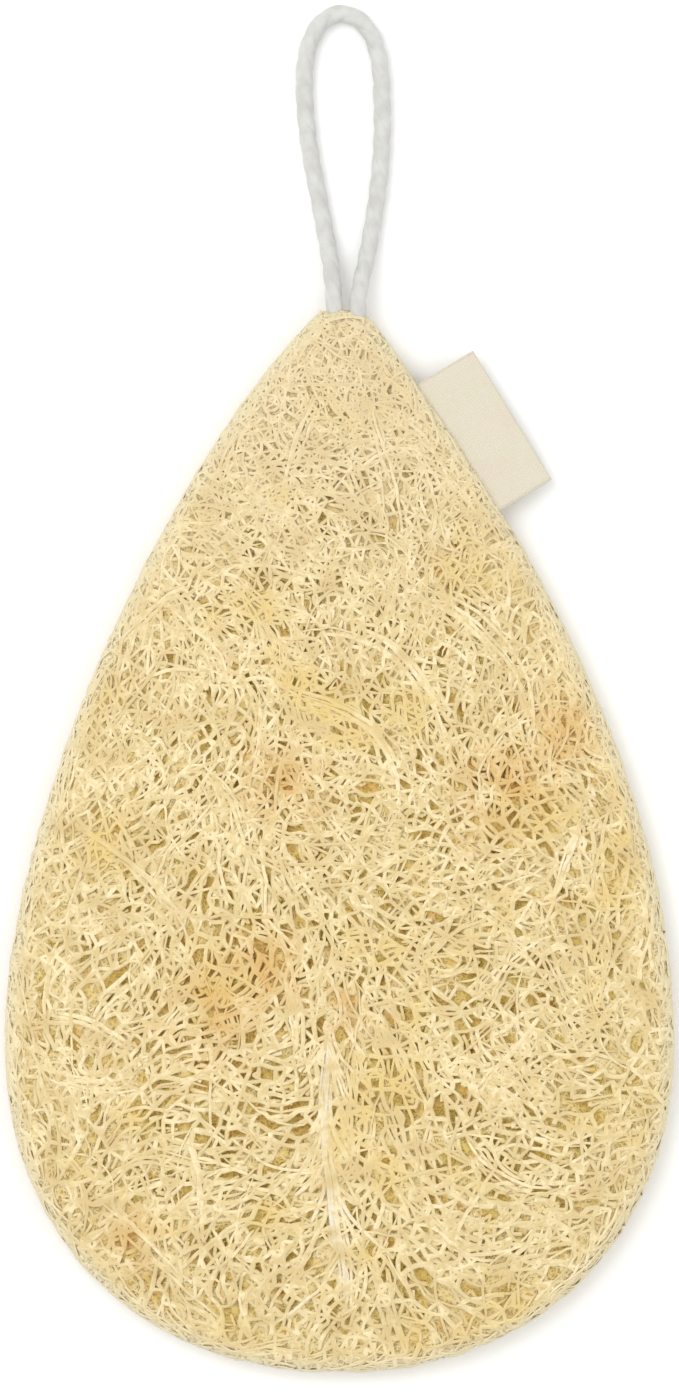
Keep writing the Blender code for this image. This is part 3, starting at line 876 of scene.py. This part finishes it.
def net_links(knots, kept, rng):
    """The links between knots that stay: sooner short ones, and ones along or across the streams."""
    triangles = triangulated(knots)
    pairs = np.sort(triangles[:, [0, 1, 1, 2, 2, 0]].reshape(-1, 2), axis=1)
    pairs = np.unique(pairs, axis=0)
    run = knots[pairs[:, 1]] - knots[pairs[:, 0]]
    length = np.linalg.norm(run, axis=1)
    lean = np.arctan2(run[:, 1], run[:, 0]) - streams(knots[pairs].mean(axis=1))
    liking = np.maximum(np.cos(2 * lean) * LIKE_ALONG, np.cos(2 * (lean - CROSSING)) * LIKE_ACROSS)
    liking += rng.uniform(0, LIKE_CHANCE, len(pairs)) - DISLIKE_LENGTH * length / np.median(length)
    good = length < LONGEST_LINK * np.median(length)
    good &= liking > np.quantile(liking, 1 - kept)
    return pairs[good]


def run_on(way, links):
    """The way each link leaves its two knots: in line with the link that is most nearly opposite."""
    knots = links.T.ravel()
    out = np.vstack([way, -way])
    order = np.argsort(knots, kind="stable")
    first = np.searchsorted(knots[order], knots[order])
    column = np.arange(len(order)) - first
    table = np.full((knots.max() + 1, column.max() + 1), -1)
    table[knots[order], column] = order
    others = table[knots]
    match = (out[others] * out[:, None]).sum(axis=2)
    match[(others < 0) | (others == np.arange(len(knots))[:, None])] = 1.0
    best = match.argmin(axis=1)
    rows = np.arange(len(knots))
    opposite = out[others[rows, best]]
    through = (match[rows, best] < OPPOSITE)[:, None]
    return np.split(np.where(through, unit(out - opposite), out), 2)


def curved(knots, links, points):
    """The links as curves that pass smoothly through their knots."""
    start, end = knots[links[:, 0]], knots[links[:, 1]]
    length = np.linalg.norm(end - start, axis=1, keepdims=True)
    leaving, arriving = run_on((end - start) / length, links)
    lines = []
    for t in np.linspace(-OVERRUN, 1 + OVERRUN, points):
        here = (2 * t**3 - 3 * t**2 + 1) * start + (3 * t**2 - 2 * t**3) * end
        here += BEND * length * ((t**3 - 2 * t**2 + t) * leaving - (t**3 - t**2) * arriving)
        lines.append(here)
    return np.stack(lines, axis=1)


def net_strands(layer, rng):
    """One layer of the net: flat lines with their depths, their thicknesses and their tints."""
    knots = scattered(layer.spacing, rng)
    links = net_links(knots, layer.kept, rng)
    sink = np.maximum(layer.depth + rng.normal(0, DEPTH_SPREAD, len(knots)), layer.radius / 2)
    share = np.linspace(0.0, 1.0, layer.points)
    sinks = sink[links[:, :1]] * (1 - share) + sink[links[:, 1:]] * share
    swell = 1 + KNOT_SWELL * np.abs(2 * share - 1)
    thick = layer.radius * rng.uniform(*STRAND_WIDTHS, (len(links), 1)) * swell
    thick *= tightness(knots[links[:, :1], 1])
    return curved(knots, links, layer.points), sinks, thick, rng.uniform(0, 1, len(links))


def half_of(lines, left):
    """The strands of the pad's left or right half."""
    in_half = (lines[0][..., 0].mean(axis=1) < 0) == left
    return [values[in_half] for values in lines]


def sampled(lines):
    """Close points along flat lines."""
    share = np.linspace(0.0, 1.0, SAMPLES, endpoint=False)[:, None]
    steps = []
    for k in range(lines.shape[1] - 1):
        steps.append(lines[:, k, None] * (1 - share) + lines[:, k + 1, None] * share)
    return np.concatenate(steps, axis=1).reshape(-1, 2)


def fibres(flat, sinks, radii, tints, front):
    """Strands along flat lines wrapped onto the pad, with the numbers that the finish reads."""
    count, points = flat.shape[:2]
    if not front:
        sinks = np.maximum(sinks, radii)
    places, out, arc = on_skin(flat.reshape(-1, 2), sinks.ravel(), front)
    rust = nearness(flat.reshape(-1, 2), RUST_PLACES) if front else np.zeros(count * points)
    clear = clear_of_others(places).reshape(count, points).all(axis=1)
    places, out = places.reshape(count, points, 3)[clear], out.reshape(count, points, 3)[clear]
    corners, faces = roofs(places, radii[clear], out)
    values = {
        "sink": np.repeat(sinks[clear].ravel(), 3),
        "edge": np.repeat(arc.reshape(count, points)[clear].ravel(), 3),
        "rust": np.repeat(rust.reshape(count, points)[clear].ravel(), 3),
        "tint": np.repeat(tints[clear], points * 3),
    }
    return corners, faces, values


def wavy_fibres(flat, depth, radius, front, rng, tints=FIBRE_TINTS):
    """Fibres that dip under and rise over their neighbours, and sink and taper at their ends."""
    count, points = flat.shape[:2]
    along = np.linspace(0.0, 1.0, points)
    dips = np.sin(along * rng.uniform(*FIBRE_DIPS, (count, 1)) + rng.uniform(*PHASES, (count, 1)))
    sinks = depth + DIP_SHARE * radius * dips + rng.normal(0, FIBRE_DEPTHS * radius, (count, 1))
    sinks += END_SINK * (np.abs(2 * along - 1) ** 6)
    radii = radius * rng.uniform(*FIBRE_WIDTHS, (count, 1)) * (1 - END_TAPER * np.abs(2 * along - 1) ** 4)
    return fibres(flat, np.maximum(sinks, HIGHEST_SINK), radii, rng.uniform(*tints, count), front)


def build_loose(count, front, rng):
    """Single fibres that wander over the net, following its streams."""
    low, high = OUTLINE.min(axis=0), OUTLINE.max(axis=0)
    starts = rng.random((count * 3, 2)) * (high - low) + low
    starts = starts[edge_frame(starts)[0] > 0.0][:count]
    total = len(starts)
    step = rng.uniform(*LOOSE_LENGTH, total) / (LOOSE_POINTS - 1)
    crossing = np.where(rng.random(total) < LOOSE_CROSSING, CROSSING, 0.0)
    crossing += rng.normal(0, LOOSE_LEAN, total)
    bend = rng.normal(0, LOOSE_BEND, total)
    line = [starts]
    for k in range(LOOSE_POINTS - 1):
        angle = streams(line[-1]) + crossing + bend * k + rng.normal(0, LOOSE_WANDER, total)
        line.append(line[-1] + step[:, None] * np.stack([np.cos(angle), np.sin(angle)], axis=1))
    flat = np.stack(line, axis=1)
    inside = edge_frame(flat.reshape(-1, 2))[0].reshape(flat.shape[:2])
    flat = flat[inside.min(axis=1) > -UNROLLED]
    return wavy_fibres(flat, LOOSE_DEPTH, LOOSE_RADIUS, front, rng)


def beside(line, count, width, rng):
    """Fibres lying side by side along a line, each along a part of it."""
    made = []
    for _ in range(count):
        length = rng.integers(len(line) // 3, len(line) - 1)
        start = rng.integers(0, len(line) - length)
        at = start + np.linspace(0, length, LOOSE_POINTS)
        own = np.stack([np.interp(at, np.arange(len(line)), line[:, k]) for k in range(2)], axis=1)
        way = unit(np.gradient(own, axis=0))
        shift = np.cumsum(rng.normal(0, LONG_WANDER * width, LOOSE_POINTS)) + rng.normal(0, width)
        made.append(own + shift[:, None] * np.stack([-way[:, 1], way[:, 0]], axis=1))
    return made


def branches(rib, count, rng):
    """Fibres that leave the midrib to both sides, down and outwards."""
    roots = rib[rng.integers(0, int(BRANCHED_SHARE * len(rib)), count)]
    side = rng.choice([-1.0, 1.0], count)
    angle = rng.uniform(*BRANCH_ANGLES, count)
    step = rng.uniform(*BRANCH_LENGTH, count) / (LOOSE_POINTS - 1)
    bend = rng.uniform(*BRANCH_BENDS, count)
    line = [roots + rng.normal(0, BRANCH_SCATTER, roots.shape)]
    for k in range(LOOSE_POINTS - 1):
        turn = angle + bend * k + rng.normal(0, BRANCH_WANDER, count)
        line.append(line[-1] + step[:, None] * np.stack([side * np.sin(turn), -np.cos(turn)], axis=1))
    return list(np.stack(line, axis=1))


def bundle_lines(rng):
    """Flat lines of the midrib, and of its branches and the other long strands of the front."""
    rib, *others = [smooth_line(strand, LONG_STEP) for strand in STRANDS]
    lines = branches(rib, RIB_BRANCHES, rng)
    for strand in others:
        lines += beside(strand, BUNDLE_FIBRES, BUNDLE_SPREAD, rng)
    return np.array(beside(rib, RIB_FIBRES, RIB_SPREAD, rng)), np.array(lines)


def build_rim(front, rng):
    """Short fibres pressed together along the pad's edge."""
    total = len(OUTLINE)
    place = rng.uniform(0, total, (RIM_FIBRES, 1))
    reach = rng.uniform(*RIM_LENGTH, (RIM_FIBRES, 1)) * np.linspace(0, 1, RIM_POINTS)
    lean = rng.normal(0, RIM_LEAN, (RIM_FIBRES, 1))
    at = place + reach * np.cos(lean) / OUTLINE_STEP
    low, part = np.floor(at).astype(int), (at % 1)[..., None]
    edge = OUTLINE[low % total] * (1 - part) + OUTLINE[(low + 1) % total] * part
    along = unit(OUTLINE[(low + 1) % total] - OUTLINE[low % total])
    inward = np.stack([-along[..., 1], along[..., 0]], axis=-1)
    arc = rng.uniform(*RIM_PLACES, (RIM_FIBRES, 1)) + reach * np.sin(lean)
    arc += np.cumsum(rng.normal(0, RIM_WANDER, at.shape), axis=1)
    flat = edge + inward * (np.clip(arc, -OVERLAP, RIM_TOP) - UNROLLED)[..., None]
    return wavy_fibres(flat, RIM_DEPTH, RIM_RADIUS, front, rng)


def build_mat(lines, front, rng):
    """The mat of fine fibre: a surface that rises to the strands and sinks in the gaps between them."""
    spacing = MAT_SPACING[front]
    knots = scattered(spacing, rng)
    faces = triangulated(knots)
    wide = np.linalg.norm(knots[faces] - knots[faces].mean(axis=1, keepdims=True), axis=2).max(axis=1)
    faces = faces[wide < 2 * spacing]
    inside, _, _ = edge_frame(knots)
    sink = MAT_RIM_DEPTH + (MAT_DEPTH - MAT_RIM_DEPTH) * ease(inside / MAT_RIM_REACH)
    closed, opened = GAP_DEPTHS
    gaps = gap_share(knots, search_tree(np.vstack([sampled(line) for line in lines])))
    sink += gaps * (closed + (opened - closed) * openness(knots, front, rng))
    sink += rng.uniform(-MAT_ROUGHNESS, MAT_ROUGHNESS, len(knots))
    places, _, arc = on_skin(knots, sink, front)
    rust = nearness(knots, RUST_PLACES) if front else np.zeros(len(knots))
    values = {"sink": sink, "edge": arc, "rust": rust, "tint": rng.uniform(0, 1, len(knots))}
    return places, faces if front else faces[:, ::-1], values


def add_loofah(name, finish, *parts):
    """One piece of the pad, made of several (corners, faces, values)."""
    starts = np.cumsum([0] + [len(corners) for corners, _, _ in parts[:-1]])
    places = np.vstack([corners for corners, _, _ in parts])
    faces = np.vstack([faces + start for (_, faces, _), start in zip(parts, starts)])
    values = {key: np.concatenate([held[key] for _, _, held in parts]) for key in parts[0][2]}
    as_piece(add_mesh(name, places, faces, finish, values), "loofah_pad")


def build_pad():
    """On each side a net of strands over a mat, with loose fibres, long strands and a pressed rim."""
    strand_finish, mat_finish = fibre_material(), mat_material()
    rng = np.random.default_rng(SEED)
    rib, bundles = bundle_lines(rng)
    for front, side in ((FRONT, "front"), (BACK, "back")):
        upper, lower = net_strands(UPPER_NET[front], rng), net_strands(LOWER_NET[front], rng)
        lines = [upper[0], rib, bundles] if front else [upper[0]]
        add_loofah(f"loofah_mat_{side}", mat_finish, build_mat(lines, front, rng))
        add_loofah(f"loofah_upper_net_{side}_left", strand_finish, fibres(*half_of(upper, True), front))
        add_loofah(f"loofah_upper_net_{side}_right", strand_finish, fibres(*half_of(upper, False), front))
        add_loofah(f"loofah_lower_net_{side}", strand_finish, fibres(*lower, front))
    long_strands = (
        build_loose(LOOSE_FRONT, FRONT, rng),
        wavy_fibres(bundles, LONG_DEPTH, BUNDLE_RADIUS, FRONT, rng, BUNDLE_TINTS),
        wavy_fibres(rib, LONG_DEPTH, RIB_RADIUS, FRONT, rng, RIB_TINTS),
    )
    add_loofah("loofah_long_fibres", strand_finish, *long_strands)
    edges = (build_loose(LOOSE_BACK, BACK, rng), build_rim(FRONT, rng), build_rim(BACK, rng))
    add_loofah("loofah_edge_fibres", strand_finish, *edges)


# Loop and label


def build_cord():
    """The hanging loop: soft cotton plies twisted round each other."""
    line = smooth_line(CORD_ROUTE, CORD_STEP)
    along = unit(np.gradient(line, axis=0))
    across = unit(np.cross(along, [0.0, 0.0, 1.0]))
    over = np.cross(across, along)
    at = np.arange(len(line)) * np.linalg.norm(np.diff(line, axis=0), axis=1).mean()
    radius = CORD_DIAMETER / 2
    ply = PLY_SHARE * radius
    rails = []
    for k in range(CORD_PLIES):
        turn = 2 * math.pi * (at / CORD_PITCH + k / CORD_PLIES)
        way = np.cos(turn)[:, None] * across + np.sin(turn)[:, None] * over
        rails.append(line + (radius - ply) * way)
    rails = np.array(rails)
    up = np.broadcast_to([0.0, 0.0, 1.0], rails.shape)
    places, faces = tubes(rails, np.full(rails.shape[:2], ply), up, PLY_SIDES)
    cord = add_mesh("hanging_loop", places, faces, cord_material())
    as_piece(cord, "hanging_cord")


def label_section():
    """The label's section from one held end round its fold to the other, as (inset, lift)."""
    bend = (TAPE_GAP + TAPE_THICKNESS) / 2
    layer = np.linspace(LABEL_SHOWN + LABEL_HELD, bend, LAYER_ROWS)
    turn = np.linspace(0.0, math.pi, FOLD_ROWS)[1:-1]
    upper = np.column_stack([layer, np.full(LAYER_ROWS, bend)])
    fold = np.column_stack([bend - bend * np.sin(turn), bend * np.cos(turn)])
    lower = np.column_stack([layer[::-1], np.full(LAYER_ROWS, -bend)])
    return np.vstack([upper, fold, lower])


def build_label():
    """A blank woven tape, folded in two and held in the pad's edge."""
    middle, along, inward = label_axes()
    section = label_section()
    run = np.concatenate([[0.0], np.cumsum(np.linalg.norm(np.diff(section, axis=0), axis=1))])
    across = np.linspace(-0.5, 0.5, LABEL_COLUMNS) * LABEL_WIDTH
    inset, lift = section.T
    free = np.maximum(0.0, 1 - inset / LABEL_SHOWN)
    rate, shift = RIPPLE_WAVE
    ripple = RIPPLE * np.sin(across * rate + shift)[None] * free[:, None]
    flat = middle + inset[:, None, None] * inward + across[None, :, None] * along
    height = RIM_Z + (lift - LABEL_DROOP * free**DROOP_POWER)[:, None] + ripple
    places = np.concatenate([flat, height[..., None]], axis=2)
    index = np.arange(places[..., 0].size).reshape(places.shape[:2])
    corners = [index[:-1, :-1], index[:-1, 1:], index[1:, 1:], index[1:, :-1]]
    faces = np.stack(corners, axis=-1).reshape(-1, 4)
    label = add_mesh("woven_label", places.reshape(-1, 3), faces, label_material())
    grid = np.stack(np.broadcast_arrays(across[None], run[:, None]), axis=-1).reshape(-1, 2) / THREAD_UNIT
    threads = label.data.uv_layers.new(name="threads")
    threads.data.foreach_set("uv", grid[faces.ravel()].astype(np.float32).ravel())
    tape = label.modifiers.new("tape thickness", "SOLIDIFY")
    tape.thickness = TAPE_THICKNESS
    tape.offset = 0.0
    as_piece(label, "cotton_label")


# View


def build_camera():
    """The camera, straight above the sponge."""
    data = bpy.data.cameras.new("camera")
    data.lens = LENS
    data.sensor_width = SENSOR
    data.clip_end = VIEW_REACH
    camera = bpy.data.objects.new("camera", data)
    camera.location = (0.0, VIEW_MIDDLE_Y, RIM_Z + LENS / SENSOR * FRAME_HEIGHT)
    bpy.context.scene.collection.objects.link(camera)
    bpy.context.scene.camera = camera


def build_stage():
    """The floor, two soft lamps and a white sky."""
    half = FLOOR_SIZE / 2
    corners = np.array([(-half, -half, 0), (half, -half, 0), (half, half, 0), (-half, half, 0)], float)
    floor = add_mesh("floor", corners, np.array([[0, 1, 2, 3]]), floor_material())
    for name, place, size, power in LAMPS:
        data = bpy.data.lights.new(name, "AREA")
        data.size = size
        data.energy = power
        lamp = bpy.data.objects.new(name, data)
        lamp.location = place
        lamp.rotation_euler = (-Vector(place)).to_track_quat("-Z", "Y").to_euler()
        bpy.context.scene.collection.objects.link(lamp)
    world = bpy.data.worlds.new("studio")
    world.use_nodes = True
    sky = world.node_tree.nodes["Background"]
    sky.inputs["Color"].default_value = (1.0, 1.0, 1.0, 1.0)
    sky.inputs["Strength"].default_value = SKY_STRENGTH
    bpy.context.scene.world = world
    bpy.context.scene.view_settings.view_transform = "Standard"


build_camera()
build_cord()
build_stage()
build_pad()
build_label()
